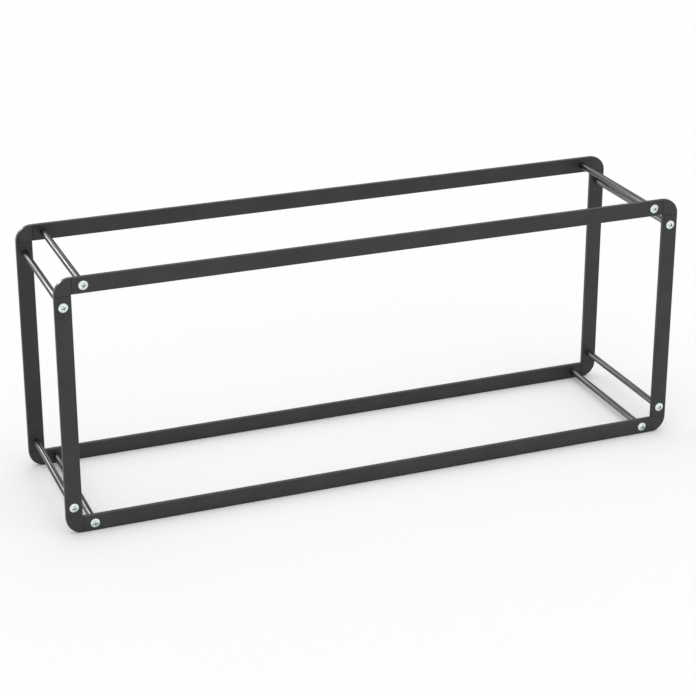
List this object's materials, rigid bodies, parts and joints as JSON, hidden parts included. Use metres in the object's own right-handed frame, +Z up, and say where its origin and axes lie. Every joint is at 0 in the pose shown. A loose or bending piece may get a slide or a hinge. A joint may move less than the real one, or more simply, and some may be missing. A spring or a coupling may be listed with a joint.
{
  "type": "firewood log rack",
  "caption": "Low open firewood rack: rounded rectangular rings of flat black steel tube, front and rear, bolted together by round cross rods at the corners.",
  "frame": {"origin": "on the floor, under the middle of the rack: midway along its length and midway between the two rings", "axes": "+X along the rack's length, +Y from the front ring to the rear ring, +Z up"},
  "size_m": [1, 0.2562, 0.4],
  "materials": {
    "black_tube": "matte black powder coat on steel tube",
    "black_corner": "matte black powder coat on cast steel",
    "rod": "satin gunmetal-grey coated steel bar",
    "zinc_bolt": "bright zinc plate"
  },
  "bodies": {
    "root": {"front_bottom_rail": "black_tube", "front_top_rail": "black_tube", "rear_bottom_rail": "black_tube", "rear_top_rail": "black_tube", "front_left_upright": "black_tube", "front_right_upright": "black_tube", "rear_left_upright": "black_tube", "rear_right_upright": "black_tube", "front_bottom_left_corner": "black_corner", "front_bottom_right_corner": "black_corner", "front_top_left_corner": "black_corner", "front_top_right_corner": "black_corner", "rear_bottom_left_corner": "black_corner", "rear_bottom_right_corner": "black_corner", "rear_top_left_corner": "black_corner", "rear_top_right_corner": "black_corner", "bottom_left_rail_rod": "rod", "bottom_right_rail_rod": "rod", "top_left_rail_rod": "rod", "top_right_rail_rod": "rod", "bottom_left_upright_rod": "rod", "bottom_right_upright_rod": "rod", "top_left_upright_rod": "rod", "top_right_upright_rod": "rod", "front_bolts": "zinc_bolt", "rear_bolts": "zinc_bolt"}
  },
  "joints": []
}
